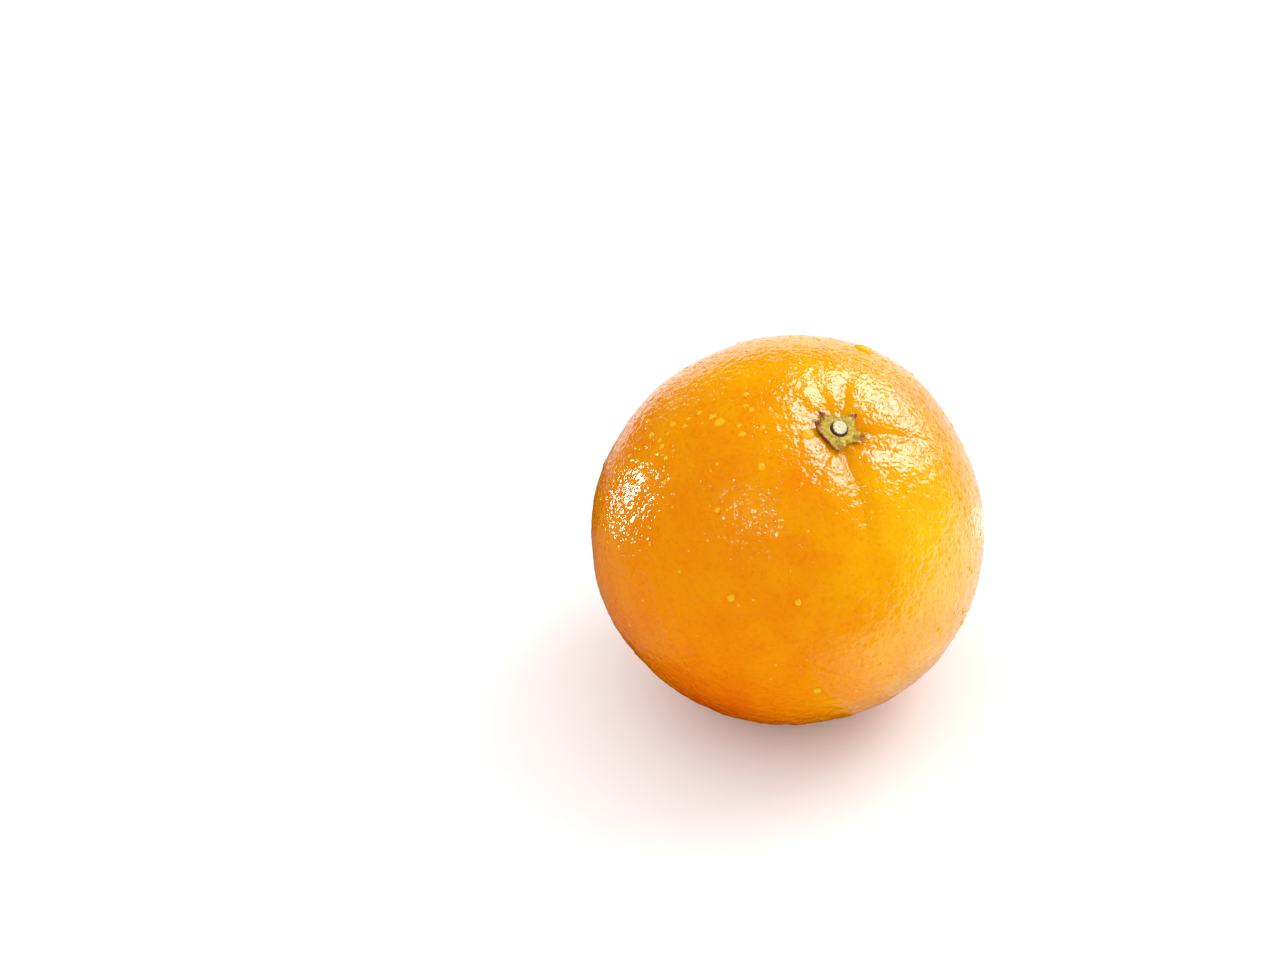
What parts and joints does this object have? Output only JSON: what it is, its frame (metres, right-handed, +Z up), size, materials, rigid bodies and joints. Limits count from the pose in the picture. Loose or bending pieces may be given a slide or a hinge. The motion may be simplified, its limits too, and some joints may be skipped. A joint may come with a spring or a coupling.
{
  "type": "orange",
  "caption": "Whole orange with its green calyx and the cut stub of its stem, lying on the small flat spot of its peel.",
  "frame": {"origin": "on the ground the orange lies on, under the middle of its bounding box", "axes": "+Z up; the stem end leans towards +X and -Y, and the front of the fruit faces -Y"},
  "size_m": [0.0798, 0.08, 0.0773],
  "materials": {
    "peel": "satin",
    "calyx": "matte",
    "stem": "matte",
    "water": "gloss"
  },
  "bodies": {
    "root": {"fruit": "peel", "calyx": "calyx", "stem_stub": "stem"}
  },
  "joints": []
}
